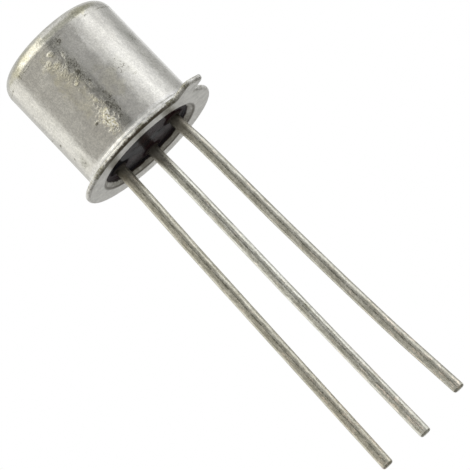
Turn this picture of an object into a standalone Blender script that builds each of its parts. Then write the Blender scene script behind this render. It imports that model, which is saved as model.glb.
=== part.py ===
# Small-signal transistor in a round metal can: a drawn can on a stamped header with three glass-sealed leads.
# The origin is the centre of the seating plane, the underside of the header's flange. +Z points up the can.
# The emitter lead is at +X, the base lead at +Y, the collector lead at -X, the index tab between +X and -Y.

import bmesh
import bpy
from math import asin, cos, degrees, pi, radians, sin
from mathutils import Matrix, Vector

MM = 0.001
WELD_DISTANCE = 1e-7         # metres, within which loose points are joined

# Can, drawn from one sheet
CAN_RADIUS = 2.35
CAN_HEIGHT = 5.14            # seating plane to can top
CAN_SHEET = 0.17
CAN_TOP_CORNER = 0.59        # outer radius between the wall and the top
CAN_FOOT_FILLET = 0.06       # outer radius between the wall and the weld flange
WELD_FLANGE_WIDTH = 0.15     # from the can's wall to the trimmed rim
WELD_FLANGE_EDGE = 0.06      # rounding of the trimmed rim

# Header, stamped from one sheet: flange with index tab, wall and platform
HEADER_SHEET = 0.20
HEADER_FLANGE_MARGIN = 0.34  # how far the header's flange stands out past the weld flange
HEADER_WALL_CLEARANCE = 0.14  # between the header's wall and the inside of the can
HEADER_BEND = 0.12           # inside radius where the flange turns up into the wall
HEADER_CORNER = 0.30         # outer radius between the wall and the platform
HEADER_HEIGHT = 1.05         # seating plane to the platform's top
HEADER_RIM_TOP = 0.07        # rounding of the rim's upper edge
HEADER_RIM_BOTTOM = 0.09     # die roll of the rim's lower edge
TAB_WIDTH = 1.00
TAB_LENGTH = 0.78            # from the flange's rim to the tab's tip
TAB_ROOT = 0.30              # how far the tab's blank runs into the flange
TAB_CORNER = 0.25            # corner radius of the tip, in plan
TAB_EDGE = 0.07              # rounding of the tab's edges
TAB_ANGLE = -42.0            # as on the photographed part, where 45 is nominal

# Glass seal
GLASS_RECESS = 0.21          # seating plane up to the glass
GLASS_EDGE_DROP = 0.03       # how far the glass creeps down the header's bend
GLASS_EDGE_WIDTH = 0.12
COLLAR_WIDTH = 0.13          # glass collar around a lead
COLLAR_HEIGHT = 0.06
COLLAR_LIP = 0.02            # glass left around the lead at the collar's end
SLEEVE_WIDTH = 0.21          # glass between a lead and its hole in the platform
SLEEVE_STEP = 0.02           # the sleeve ends this far under the platform's top

# Leads
LEAD_RADIUS = 0.22
LEAD_TO_WALL = 0.57          # from a lead's centre to the inside of the header's wall
LEAD_END_ROUNDING = 0.04
POST_HEIGHT = 0.35           # how far the emitter and base leads stand above the platform
LEAD_LENGTH = 13.69          # from the seating plane down to the collector lead's tip
EMITTER_LEAD_CUT = 0.22      # how much shorter the emitter lead was cut
BASE_LEAD_CUT = 0.04         # how much shorter the base lead was cut

# How each lead strays sideways, along X, at shares of its free length
EMITTER_STRAY = ((0.0, 0.0), (0.10, 0.085), (0.40, 0.19), (0.75, 0.39), (1.0, 0.633))
BASE_STRAY = ((0.0, 0.0), (0.12, 0.02), (0.60, 0.010), (1.0, 0.042))
COLLECTOR_STRAY = ((0.0, 0.0), (0.30, -0.115), (0.65, -0.24), (1.0, -0.355))

# Chip and bonds
CHIP_SIDE = 0.50
CHIP_THICKNESS = 0.18
DIE_BOND_MARGIN = 0.06
DIE_BOND_THICKNESS = 0.03
DIE_BOND_CORNER = 0.08
WIRE_RADIUS = 0.015
BALL_RADIUS = 0.040
BALL_HEIGHT = 0.035
PAD_OFFSET = 0.11            # from the chip's centre to each bond pad
WIRE_ARCH = 0.45             # how far a bond wire rises above the chip
STITCH_LENGTH = 0.10         # stretch of wire pressed flat on the post

# Clearance where two pieces seat on, or fit in, each other
SEAT_GAP = 0.01

# Facets
TURN_STEPS = 64
CORNER_STEPS = 8
BEND_STEPS = 5
EDGE_STEPS = 3
COLLAR_STEPS = 4
HOLE_SIDES = 32
LEAD_BEVEL_STEPS = 6
WIRE_BEVEL_STEPS = 2
ROUTE_STEPS = 14

# Sizes worked out from the driving ones
CAN_INNER_RADIUS = CAN_RADIUS - CAN_SHEET
HEADER_WALL_RADIUS = CAN_INNER_RADIUS - HEADER_WALL_CLEARANCE
HEADER_INNER_RADIUS = HEADER_WALL_RADIUS - HEADER_SHEET
LEAD_CIRCLE_RADIUS = HEADER_INNER_RADIUS - LEAD_TO_WALL
WELD_FLANGE_RADIUS = CAN_RADIUS + WELD_FLANGE_WIDTH
HEADER_FLANGE_RADIUS = WELD_FLANGE_RADIUS + HEADER_FLANGE_MARGIN
PLATFORM_UNDERSIDE = HEADER_HEIGHT - HEADER_SHEET
GLASS_TOP = PLATFORM_UNDERSIDE - SEAT_GAP
COLLAR_END = GLASS_RECESS - COLLAR_HEIGHT
LEAD_HOLE_RADIUS = LEAD_RADIUS + SEAT_GAP
SLEEVE_RADIUS = LEAD_RADIUS + SLEEVE_WIDTH
PLATFORM_HOLE_RADIUS = SLEEVE_RADIUS + SEAT_GAP
POST_TOP = HEADER_HEIGHT + POST_HEIGHT
DIE_BOND_BASE = HEADER_HEIGHT + SEAT_GAP
CHIP_BASE = DIE_BOND_BASE + DIE_BOND_THICKNESS + SEAT_GAP
CHIP_TOP = CHIP_BASE + CHIP_THICKNESS
WELD_FLANGE_BASE = HEADER_SHEET + SEAT_GAP

EMITTER_PLACE = Vector((LEAD_CIRCLE_RADIUS, 0.0, 0.0))
BASE_PLACE = Vector((0.0, LEAD_CIRCLE_RADIUS, 0.0))
COLLECTOR_PLACE = Vector((-LEAD_CIRCLE_RADIUS, 0.0, 0.0))


def clear_scene():
    for item in list(bpy.data.objects):
        bpy.data.objects.remove(item, do_unlink=True)
    for group in list(bpy.data.collections):
        bpy.data.collections.remove(group)


def new_collection(name):
    group = bpy.data.collections.new(name)
    bpy.context.scene.collection.children.link(group)
    return group


def new_material(name, colour, metallic, roughness):
    material = bpy.data.materials.new(name)
    material.use_nodes = True
    shader = material.node_tree.nodes["Principled BSDF"]
    shader.inputs["Base Color"].default_value = (*colour, 1.0)
    shader.inputs["Metallic"].default_value = metallic
    shader.inputs["Roughness"].default_value = roughness
    return material


def place(item, group, material=None, parent=None):
    group.objects.link(item)
    if material is not None:
        item.data.materials.append(material)
    if parent is not None:
        item.parent = parent
    return item


def as_cutter(item):
    item.hide_render = True
    item.display_type = "WIRE"
    return item


def arc(centre_x, centre_z, radius, start, end, steps):
    """Points of an arc in the X-Z plane, from start to end in degrees."""
    points = []
    for step in range(steps + 1):
        angle = radians(start + (end - start) * step / steps)
        points.append((centre_x + radius * cos(angle), centre_z + radius * sin(angle)))
    return points


def without_repeats(points):
    kept = []
    for point in points:
        if not kept or (Vector(point) - Vector(kept[-1])).length * MM > WELD_DISTANCE:
            kept.append(point)
    return kept


def flush(height):
    """Rounds a height to a nanometre, so that faces meant to be flush lie in exactly one plane."""
    return round(height, 9)


def turned(name, profile, steps=TURN_STEPS):
    """Turns a profile of (radius, height) in millimetres about the object's own Z axis."""
    points = [(x * MM, 0.0, flush(z * MM)) for x, z in without_repeats(profile)]
    mesh = bpy.data.meshes.new(name)
    mesh.from_pydata(points, [(i, i + 1) for i in range(len(points) - 1)], [])
    item = bpy.data.objects.new(name, mesh)
    screw = item.modifiers.new("Turn", "SCREW")
    screw.axis = "Z"
    screw.angle = 2 * pi
    screw.steps = steps
    screw.render_steps = steps
    screw.use_merge_vertices = True
    screw.merge_threshold = WELD_DISTANCE
    screw.use_smooth_shade = True
    return item


def add_boolean(item, other, operation):
    modifier = item.modifiers.new(f"{operation.title()} {other.name}", "BOOLEAN")
    modifier.operation = operation
    modifier.solver = "EXACT"
    modifier.object = other


def flat_piece(name, outline, thickness, edge):
    """A flat 2D curve with rounded edges, standing on its own Z = 0."""
    curve = bpy.data.curves.new(name, "CURVE")
    curve.dimensions = "2D"
    curve.fill_mode = "BOTH"
    curve.extrude = (thickness / 2 - edge) * MM
    curve.bevel_depth = edge * MM
    curve.bevel_resolution = 1
    curve.offset = -edge * MM
    spline = curve.splines.new("POLY")
    spline.points.add(len(outline) - 1)
    for point, (x, y) in zip(spline.points, outline):
        point.co = (x * MM, y * MM, 0.0, 1.0)
    spline.use_cyclic_u = True
    item = bpy.data.objects.new(name, curve)
    item.location.z = thickness / 2 * MM
    return item


def mesh_from_curve(item, group):
    """Replaces a curve object by a closed mesh object with the same name and place."""
    bpy.context.view_layer.update()
    evaluated = item.evaluated_get(bpy.context.evaluated_depsgraph_get())
    mesh = bpy.data.meshes.new_from_object(evaluated)
    shape = bmesh.new()
    shape.from_mesh(mesh)
    bmesh.ops.remove_doubles(shape, verts=shape.verts, dist=WELD_DISTANCE)
    bmesh.ops.recalc_face_normals(shape, faces=shape.faces)
    for corner in shape.verts:
        corner.co.z = flush(corner.co.z)
    shape.to_mesh(mesh)
    shape.free()
    name, matrix = item.name, item.matrix_world.copy()
    bpy.data.objects.remove(item, do_unlink=True)
    solid = bpy.data.objects.new(name, mesh)
    solid.matrix_world = matrix
    group.objects.link(solid)
    return solid


def rounded_rectangle(low_x, high_x, half_width, corner, round_low):
    """Outline in the X-Y plane with rounded corners at high X, and at low X too if round_low is set."""
    outline = []
    outline += arc(high_x - corner, -half_width + corner, corner, 270, 360, BEND_STEPS)
    outline += arc(high_x - corner, half_width - corner, corner, 0, 90, BEND_STEPS)
    if round_low:
        outline += arc(low_x + corner, half_width - corner, corner, 90, 180, BEND_STEPS)
        outline += arc(low_x + corner, -half_width + corner, corner, 180, 270, BEND_STEPS)
    else:
        outline += [(low_x, half_width), (low_x, -half_width)]
    return outline


def cylinder_cutter(name, centre, radius, low, high, group):
    """Cutter turned by half a side, so that its corners miss the edges of the turned pieces around it."""
    mesh = bpy.data.meshes.new(name)
    shape = bmesh.new()
    half_side = Matrix.Rotation(pi / HOLE_SIDES, 4, "Z")
    bmesh.ops.create_cone(
        shape,
        cap_ends=True,
        segments=HOLE_SIDES,
        radius1=radius * MM,
        radius2=radius * MM,
        depth=(high - low) * MM,
        matrix=Matrix.Translation((0.0, 0.0, (low + high) / 2 * MM)) @ half_side,
    )
    shape.to_mesh(mesh)
    shape.free()
    item = bpy.data.objects.new(name, mesh)
    item.location = centre * MM
    return as_cutter(place(item, group))


def make_cap(group, material, datum):
    """Drawn can, open underneath, whose sheet turns out into the weld flange."""
    bend_x = CAN_RADIUS + CAN_FOOT_FILLET
    bend_z = WELD_FLANGE_BASE + CAN_SHEET + CAN_FOOT_FILLET
    flange_top = WELD_FLANGE_BASE + CAN_SHEET
    corner_x = CAN_RADIUS - CAN_TOP_CORNER
    corner_z = CAN_HEIGHT - CAN_TOP_CORNER
    edge = WELD_FLANGE_EDGE
    profile = [(0.0, CAN_HEIGHT)]
    profile += arc(corner_x, corner_z, CAN_TOP_CORNER, 90, 0, CORNER_STEPS)
    profile += arc(bend_x, bend_z, CAN_FOOT_FILLET, 180, 270, BEND_STEPS)
    profile += arc(WELD_FLANGE_RADIUS - edge, flange_top - edge, edge, 90, 0, EDGE_STEPS)
    profile += arc(WELD_FLANGE_RADIUS - edge, WELD_FLANGE_BASE + edge, edge, 0, -90, EDGE_STEPS)
    profile += arc(bend_x, bend_z, CAN_FOOT_FILLET + CAN_SHEET, 270, 180, BEND_STEPS)
    profile += arc(corner_x, corner_z, CAN_TOP_CORNER - CAN_SHEET, 0, 90, CORNER_STEPS)
    profile += [(0.0, CAN_HEIGHT - CAN_SHEET)]
    return place(turned("cap", profile), group, material, datum)


def make_tab(group):
    """Index tab, cut from the same sheet as the flange and joined to it."""
    low = HEADER_FLANGE_RADIUS - TAB_ROOT
    high = HEADER_FLANGE_RADIUS + TAB_LENGTH
    outline = rounded_rectangle(low, high, TAB_WIDTH / 2, TAB_CORNER, False)
    tab = place(flat_piece("index_tab", outline, HEADER_SHEET, TAB_EDGE), group)
    tab.rotation_euler.z = radians(TAB_ANGLE)
    return as_cutter(mesh_from_curve(tab, group))


def make_header(group, cutters, material, datum):
    """Stamped header: flange with index tab, wall and platform, with a hole for each insulated lead."""
    bend_x = HEADER_WALL_RADIUS + HEADER_BEND
    bend_z = HEADER_SHEET + HEADER_BEND
    corner_x = HEADER_WALL_RADIUS - HEADER_CORNER
    corner_z = HEADER_HEIGHT - HEADER_CORNER
    rim = HEADER_FLANGE_RADIUS
    profile = [(0.0, HEADER_HEIGHT)]
    profile += arc(corner_x, corner_z, HEADER_CORNER, 90, 0, BEND_STEPS)
    profile += arc(bend_x, bend_z, HEADER_BEND, 180, 270, EDGE_STEPS)
    profile += arc(rim - HEADER_RIM_TOP, HEADER_SHEET - HEADER_RIM_TOP, HEADER_RIM_TOP, 90, 0, EDGE_STEPS)
    profile += arc(rim - HEADER_RIM_BOTTOM, HEADER_RIM_BOTTOM, HEADER_RIM_BOTTOM, 0, -90, EDGE_STEPS)
    profile += arc(bend_x, bend_z, HEADER_BEND + HEADER_SHEET, 270, 180, BEND_STEPS)
    profile += arc(corner_x, corner_z, HEADER_CORNER - HEADER_SHEET, 0, 90, EDGE_STEPS)
    profile += [(0.0, PLATFORM_UNDERSIDE)]
    header = place(turned("header", profile), group, material, datum)
    add_boolean(header, make_tab(cutters), "UNION")
    for name, centre in (("emitter", EMITTER_PLACE), ("base", BASE_PLACE)):
        hole = cylinder_cutter(
            f"{name}_platform_hole",
            centre,
            PLATFORM_HOLE_RADIUS,
            PLATFORM_UNDERSIDE - HEADER_SHEET,
            HEADER_HEIGHT + HEADER_SHEET,
            cutters,
        )
        add_boolean(header, hole, "DIFFERENCE")
    return header


def make_collar(name, centre, top, radius, group):
    """Glass round one lead: a meniscus under the seal and, if it is insulated, a sleeve in the platform."""
    foot = LEAD_RADIUS + COLLAR_WIDTH
    lip = LEAD_HOLE_RADIUS + COLLAR_LIP
    middle = (GLASS_RECESS + GLASS_TOP) / 2
    profile = [(0.0, top), (radius, top), (radius, middle), (foot, middle)]
    for step in range(COLLAR_STEPS + 1):
        angle = radians(90 * step / COLLAR_STEPS)
        x = foot - (foot - lip) * sin(angle)
        z = COLLAR_END + (GLASS_RECESS - COLLAR_END) * (1 - sin(angle / 2) / sin(pi / 4))
        profile.append((x, z))
    profile.append((0.0, COLLAR_END))
    collar = turned(name, profile, HOLE_SIDES)
    collar.location = centre * MM
    return as_cutter(place(collar, group))


def make_glass(group, cutters, material, datum):
    """Glass that fills the header from below, creeps round its bend and wets the leads."""
    corner_x = HEADER_WALL_RADIUS - HEADER_CORNER
    corner_z = HEADER_HEIGHT - HEADER_CORNER
    bend_x = HEADER_WALL_RADIUS + HEADER_BEND
    bend_z = HEADER_SHEET + HEADER_BEND
    creep = HEADER_BEND + HEADER_SHEET + SEAT_GAP
    turn = asin((bend_z - GLASS_RECESS + GLASS_EDGE_DROP) / creep)
    rim = bend_x - creep * cos(turn)
    profile = [(0.0, GLASS_TOP)]
    profile += arc(corner_x, corner_z, HEADER_CORNER - HEADER_SHEET - SEAT_GAP, 90, 0, EDGE_STEPS)
    profile += arc(bend_x, bend_z, creep, 180, 180 + degrees(turn), EDGE_STEPS)
    profile += [
        (rim - GLASS_EDGE_WIDTH / 3, GLASS_RECESS - GLASS_EDGE_DROP / 3),
        (rim - GLASS_EDGE_WIDTH, GLASS_RECESS),
        (0.0, GLASS_RECESS),
    ]
    glass = place(turned("glass_seal", profile), group, material, datum)
    sleeve_top = HEADER_HEIGHT - SLEEVE_STEP
    for name, centre, top in (
        ("emitter", EMITTER_PLACE, sleeve_top),
        ("base", BASE_PLACE, sleeve_top),
        ("collector", COLLECTOR_PLACE, GLASS_TOP - GLASS_RECESS / 2),
    ):
        collar = make_collar(f"{name}_collar", centre, top, SLEEVE_RADIUS, cutters)
        add_boolean(glass, collar, "UNION")
    for name, centre in (
        ("emitter", EMITTER_PLACE),
        ("base", BASE_PLACE),
        ("collector", COLLECTOR_PLACE),
    ):
        hole = cylinder_cutter(f"{name}_hole", centre, LEAD_HOLE_RADIUS, 0.0, POST_TOP, cutters)
        add_boolean(glass, hole, "DIFFERENCE")
    return glass


def smooth_value(knots, share):
    """Smooth curve through knots of (share, value), flat where it starts."""
    count = len(knots)
    slopes = [0.0]
    for i in range(1, count - 1):
        slopes.append((knots[i + 1][1] - knots[i - 1][1]) / (knots[i + 1][0] - knots[i - 1][0]))
    slopes.append((knots[-1][1] - knots[-2][1]) / (knots[-1][0] - knots[-2][0]))
    i = max(k for k in range(count - 1) if knots[k][0] <= share)
    width = knots[i + 1][0] - knots[i][0]
    t = (share - knots[i][0]) / width
    start = (2 * t**3 - 3 * t**2 + 1) * knots[i][1] + (t**3 - 2 * t**2 + t) * width * slopes[i]
    end = (3 * t**2 - 2 * t**3) * knots[i + 1][1] + (t**3 - t**2) * width * slopes[i + 1]
    return start + end


def wire(name, route, radius, bevel_steps):
    """Round wire along a route of (point, share of the radius), as a curve with filled caps."""
    curve = bpy.data.curves.new(name, "CURVE")
    curve.dimensions = "3D"
    curve.bevel_depth = radius * MM
    curve.bevel_resolution = bevel_steps
    curve.use_fill_caps = True
    curve.twist_mode = "MINIMUM"
    spline = curve.splines.new("POLY")
    spline.points.add(len(route) - 1)
    for point, (place_on_route, share) in zip(spline.points, route):
        point.co = (*(place_on_route * MM), 1.0)
        point.radius = share
    return bpy.data.objects.new(name, curve)


def rounded_end(near, end):
    """Route points from near to end, along which the wire's cut edge is rounded off."""
    along = (end - near).normalized()
    points = []
    for step in range(EDGE_STEPS + 1):
        angle = radians(90 * step / EDGE_STEPS)
        back = LEAD_END_ROUNDING * (1 - sin(angle))
        share = 1 - LEAD_END_ROUNDING / LEAD_RADIUS * (1 - cos(angle))
        points.append((end - along * back, share))
    return points


def make_lead(name, place_on_header, top, length, stray, group, material, datum):
    """Lead from its upper end straight down through the glass, then along its slightly bent stretch."""
    free = length + COLLAR_END
    route = rounded_end(Vector((0.0, 0.0, COLLAR_END)), Vector((0.0, 0.0, top)))[::-1]
    for step in range(ROUTE_STEPS):
        share = step / ROUTE_STEPS
        stray_x = smooth_value(stray, share)
        route.append((Vector((stray_x, 0.0, COLLAR_END - free * share)), 1.0))
    tip = Vector((stray[-1][1], 0.0, -length))
    route += rounded_end(route[-1][0], tip)
    lead = wire(name, route, LEAD_RADIUS, LEAD_BEVEL_STEPS)
    lead.location = place_on_header * MM
    return place(lead, group, material, datum)


def make_chip(group, material, datum):
    mesh = bpy.data.meshes.new("chip")
    shape = bmesh.new()
    size = Matrix.Diagonal((CHIP_SIDE * MM, CHIP_SIDE * MM, CHIP_THICKNESS * MM, 1.0))
    bmesh.ops.create_cube(shape, size=1.0, matrix=size)
    shape.to_mesh(mesh)
    shape.free()
    chip = bpy.data.objects.new("chip", mesh)
    chip.location.z = (CHIP_BASE + CHIP_THICKNESS / 2) * MM
    return place(chip, group, material, datum)


def make_die_bond(group, material, datum):
    """Gold preform that joins the chip to the platform."""
    half = CHIP_SIDE / 2 + DIE_BOND_MARGIN
    outline = rounded_rectangle(-half, half, half, DIE_BOND_CORNER, True)
    bond = flat_piece("die_bond", outline, DIE_BOND_THICKNESS, DIE_BOND_THICKNESS / 4)
    bond.location.z = (DIE_BOND_BASE + DIE_BOND_THICKNESS / 2) * MM
    bond = mesh_from_curve(place(bond, group), group)
    bond.data.materials.append(material)
    bond.parent = datum
    return bond


def make_bond_wire(name, post, group, material, datum):
    """Wire from a ball on the chip, over an arch, to a stitch on the top of a lead's post."""
    outward = post.normalized()
    pad_z = CHIP_TOP + SEAT_GAP
    rest_z = POST_TOP + WIRE_RADIUS + SEAT_GAP
    ball = outward * PAD_OFFSET + Vector((0.0, 0.0, pad_z))
    neck = ball + Vector((0.0, 0.0, BALL_HEIGHT))
    stitch_start = post - outward * STITCH_LENGTH / 2 + Vector((0.0, 0.0, rest_z))
    stitch_end = stitch_start + outward * STITCH_LENGTH
    rise = neck + Vector((0.0, 0.0, WIRE_ARCH * 4 / 3))
    fall = stitch_start - outward * WIRE_ARCH + Vector((0.0, 0.0, WIRE_ARCH / 3))
    ball_share = BALL_RADIUS / WIRE_RADIUS
    route = [(ball, ball_share), (neck, ball_share), (neck + Vector((0.0, 0.0, WIRE_RADIUS)), 1.0)]
    for step in range(1, ROUTE_STEPS + 1):
        t = step / ROUTE_STEPS
        start = neck + Vector((0.0, 0.0, WIRE_RADIUS))
        point = (
            start * (1 - t) ** 3
            + rise * 3 * t * (1 - t) ** 2
            + fall * 3 * t**2 * (1 - t)
            + stitch_start * t**3
        )
        route.append((point, 1.0))
    route.append((stitch_end, 1.0))
    return place(wire(name, route, WIRE_RADIUS, WIRE_BEVEL_STEPS), group, material, datum)


def main():
    clear_scene()
    bpy.context.scene.unit_settings.system = "METRIC"
    group = new_collection("metal_can_transistor")
    cutters = new_collection("cutters")
    datum = bpy.data.objects.new("seating_plane_centre", None)
    datum.empty_display_size = CAN_RADIUS * MM
    place(datum, group)

    plated_can = new_material("plated_can", (0.62, 0.61, 0.58), 1.0, 0.38)
    plated_header = new_material("plated_header", (0.58, 0.57, 0.54), 1.0, 0.45)
    dark_glass = new_material("dark_glass", (0.018, 0.016, 0.020), 0.0, 0.12)
    tinned_lead = new_material("tinned_lead", (0.50, 0.49, 0.44), 1.0, 0.40)
    silicon = new_material("silicon", (0.10, 0.11, 0.13), 0.3, 0.20)
    gold = new_material("gold", (0.85, 0.62, 0.25), 1.0, 0.25)

    make_cap(group, plated_can, datum)
    make_header(group, cutters, plated_header, datum)
    make_glass(group, cutters, dark_glass, datum)
    for name, centre, top, length, stray in (
        ("lead_emitter", EMITTER_PLACE, POST_TOP, LEAD_LENGTH - EMITTER_LEAD_CUT, EMITTER_STRAY),
        ("lead_base", BASE_PLACE, POST_TOP, LEAD_LENGTH - BASE_LEAD_CUT, BASE_STRAY),
        ("lead_collector", COLLECTOR_PLACE, GLASS_TOP, LEAD_LENGTH, COLLECTOR_STRAY),
    ):
        make_lead(name, centre, top, length, stray, group, tinned_lead, datum)
    make_die_bond(group, gold, datum)
    make_chip(group, silicon, datum)
    make_bond_wire("emitter_bond_wire", EMITTER_PLACE, group, gold, datum)
    make_bond_wire("base_bond_wire", BASE_PLACE, group, gold, datum)


main()
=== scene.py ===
"""Looks of a metal-can transistor: finer surfaces over the frame, their finishes, studio light and camera.
Sizes are in millimetres, and +Z points up the can from the flange's underside."""

from functools import reduce
from math import asin, atan2, cos, degrees, pi, radians, sin, sqrt, tan
from operator import or_

import bmesh
import bpy
from mathutils import Matrix, Vector, noise


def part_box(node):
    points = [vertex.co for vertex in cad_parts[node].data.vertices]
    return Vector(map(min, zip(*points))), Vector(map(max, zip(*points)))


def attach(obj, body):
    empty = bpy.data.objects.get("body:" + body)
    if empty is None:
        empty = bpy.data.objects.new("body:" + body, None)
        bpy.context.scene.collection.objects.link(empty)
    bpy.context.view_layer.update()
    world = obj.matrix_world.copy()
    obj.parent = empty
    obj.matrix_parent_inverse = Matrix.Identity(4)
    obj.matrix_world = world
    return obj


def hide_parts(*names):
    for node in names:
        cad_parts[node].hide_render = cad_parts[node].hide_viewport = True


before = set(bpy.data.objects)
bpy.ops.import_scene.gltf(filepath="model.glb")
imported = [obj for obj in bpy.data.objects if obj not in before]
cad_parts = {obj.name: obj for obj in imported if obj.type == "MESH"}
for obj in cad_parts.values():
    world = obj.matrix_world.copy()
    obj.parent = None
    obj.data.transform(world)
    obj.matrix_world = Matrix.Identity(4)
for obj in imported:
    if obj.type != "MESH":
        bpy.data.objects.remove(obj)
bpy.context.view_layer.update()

MM = 0.001

# Photograph's view: the camera's direction from the object, and the pixel where the object's origin falls
PICTURE_SIDE = 470
CAMERA_AZIMUTH = 0.2027
CAMERA_ELEVATION = -10.62
CAMERA_ROLL = 43.735
CAMERA_DISTANCE = 130.0
NEAREST_SEEN = 1.0
FARTHEST_SEEN = 10000.0
PIXELS_PER_MM = 29.008
ORIGIN_PIXEL = (149.96, 146.65)
SENSOR_WIDTH = 36.0

# Can
CAN_SHEET = 0.17
CAN_TOP_CORNER = 0.59
CAN_FOOT_FILLET = 0.08
WELD_FLANGE_WIDTH = 0.15
WELD_FLANGE_EDGE = 0.06
CAN_WAVE = 0.004             # how far the drawn wall strays from round
CAN_WAVES_ROUND = 1.3        # how quickly its waves change round the can
CAN_WAVES_UP = 0.22          # and up the can, for each millimetre
CAN_WAVE_FADE = 0.8          # height over which they fade towards the foot and the top

# Header
HEADER_SHEET = 0.20
HEADER_WALL_INSET = 0.31     # from the can's outside to the header's wall
HEADER_BEND = 0.12
HEADER_CORNER = 0.30
RIM_TOP = 0.07               # rounding of the rim's upper edge
RIM_BOTTOM = 0.115           # rounding of its lower edge
TAB_WIDTH = 1.00
TAB_LENGTH = 0.78
TAB_CORNER = 0.25
TAB_ROOT_FILLET = 0.10
TAB_ANGLE = -42.0

# Glass
GLASS_RECESS = 0.21
GLASS_EDGE_DROP = 0.03
GLASS_EDGE_WIDTH = 0.12
COLLAR_WIDTH = 0.13
COLLAR_LIP = 0.02
COLLAR_POWER = 1.5           # steepness of the collar's slope towards the lead
SLEEVE_WIDTH = 0.21
SEAT_GAP = 0.01

# Leads; a stray is a list of shares of the free length, each with how far towards +X the wire lies there
LEAD_RADIUS = 0.22
LEAD_CIRCLE_RADIUS = 1.27
LEAD_POST_ROUNDING = 0.04
LEAD_END_ROUNDING = 0.085
LEAD_UNEVENNESS = 0.012      # how far the wire's radius strays, as a share of it
LEAD_WAVES_ALONG = 1.1       # how quickly that changes along the wire, for each millimetre
LEAD_WAVES_ROUND = 0.7       # and round it
EMITTER_STRAY = ((0.0, 0.0), (0.10, 0.085), (0.40, 0.19), (0.75, 0.39), (1.0, 0.633))
BASE_STRAY = ((0.0, 0.0), (0.12, 0.02), (0.60, 0.010), (1.0, 0.042))
COLLECTOR_STRAY = ((0.0, 0.0), (0.30, -0.115), (0.65, -0.24), (1.0, -0.355))

# Facets of the meshes
TURN_STEPS = 256             # round the can and the glass
OUTLINE_STEPS = 300          # round the header's rim, without the tab
HOLE_SIDES = 64
CAN_TOP_STEPS = 4
CAN_CORNER_STEPS = 16
CAN_INNER_CORNER_STEPS = 8
CAN_WALL_STEPS = 30
CAN_INNER_WALL_STEPS = 6
CAN_FOOT_STEPS = 10
WELD_EDGE_STEPS = 5
FLAT_STEPS = 2
HEADER_CORNER_STEPS = 10
HEADER_INNER_CORNER_STEPS = 6
HEADER_BEND_STEPS = 6
HEADER_UNDER_BEND_STEPS = 12
RIM_TOP_STEPS = 5
RIM_BOTTOM_STEPS = 7
TAB_SIDE_STEPS = 6
TAB_CORNER_STEPS = 8
TAB_FILLET_STEPS = 6
GLASS_CORNER_STEPS = 6
GLASS_FACE_STEPS = 90
LEAD_SIDES = 48
LEAD_STEPS = 200
LEAD_POST_STEPS = 5
LEAD_END_STEPS = 7
CAN_CENTRE_RING = 0.4        # radius of the can's innermost ring of points
CENTRE_RING = 0.05           # the same on the header and the glass
CORNER_MARGIN = 0.012        # how close to a corner a straight stretch has its first point
FLAT_MARGIN = 0.02           # width of the flat ring beside the header's bend and roundings
BORE_MARGIN = 0.1            # how far a bore reaches past the sheet on either side

# Sizes read from the frame, or that follow from the ones above
cap_low, cap_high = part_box("cap")
header_low, header_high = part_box("header")
glass_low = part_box("glass_seal")[0]
CAN_HEIGHT = cap_high.z / MM
WELD_FLANGE_BASE = cap_low.z / MM
WELD_FLANGE_RADIUS = cap_high.x / MM
CAN_RADIUS = WELD_FLANGE_RADIUS - WELD_FLANGE_WIDTH
HEADER_HEIGHT = header_high.z / MM
RIM_RADIUS = -header_low.x / MM
HEADER_WALL_RADIUS = CAN_RADIUS - HEADER_WALL_INSET
BEND_RADIUS = HEADER_WALL_RADIUS + HEADER_BEND
PLATFORM_UNDERSIDE = HEADER_HEIGHT - HEADER_SHEET
GLASS_CREEP = HEADER_BEND + HEADER_SHEET + SEAT_GAP
GLASS_TOP = PLATFORM_UNDERSIDE - SEAT_GAP
COLLAR_END = glass_low.z / MM
LEAD_HOLE_RADIUS = LEAD_RADIUS + SEAT_GAP
SLEEVE_RADIUS = LEAD_RADIUS + SLEEVE_WIDTH

LEAD_PLACES = {
    "lead_emitter": Vector((LEAD_CIRCLE_RADIUS, 0.0, 0.0)),
    "lead_base": Vector((0.0, LEAD_CIRCLE_RADIUS, 0.0)),
    "lead_collector": Vector((-LEAD_CIRCLE_RADIUS, 0.0, 0.0)),
}


def on_can(angle, height):
    """Point of the can's wall, at an angle from the camera's side towards +X."""
    turn = radians(angle)
    return (CAN_RADIUS * sin(turn), -CAN_RADIUS * cos(turn), height)


class Value:
    """A socket that takes part in arithmetic: each operator adds the Math node that it stands for."""

    def __init__(self, tree, socket):
        self.tree = tree
        self.socket = socket

    def math(self, operation, first, second):
        return self.tree.node("ShaderNodeMath", {"operation": operation}, {0: first, 1: second})

    def __add__(self, other):
        return self.math("ADD", self, other)

    __radd__ = __add__

    def __sub__(self, other):
        return self.math("SUBTRACT", self, other)

    def __rsub__(self, other):
        return self.math("SUBTRACT", other, self)

    def __mul__(self, other):
        return self.math("MULTIPLY", self, other)

    __rmul__ = __mul__

    def __or__(self, other):
        """The larger of two masks."""
        return self.math("MAXIMUM", self, other)


class Tree:
    """A node tree that is written as expressions."""

    def __init__(self, node_tree):
        self.nodes = node_tree.nodes
        self.links = node_tree.links

    def node(self, kind, settings, sockets, output=0):
        """One output of a new node, after its settings are made and its sockets are fed."""
        made = self.nodes.new(kind)
        for key, value in settings.items():
            setattr(made, key, value)
        for key, value in sockets.items():
            self.feed(made.inputs[key], value)
        return Value(self, made.outputs[output])

    def feed(self, socket, value):
        if isinstance(value, Value):
            self.links.new(value.socket, socket)
        else:
            socket.default_value = value

    def between(self, value, low, high):
        """0 below low and 1 above high, or the reverse if low is the larger."""
        settings = {"interpolation_type": "SMOOTHSTEP"}
        sockets = {"Value": value, "From Min": low, "From Max": high}
        return self.node("ShaderNodeMapRange", settings, sockets)


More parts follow.
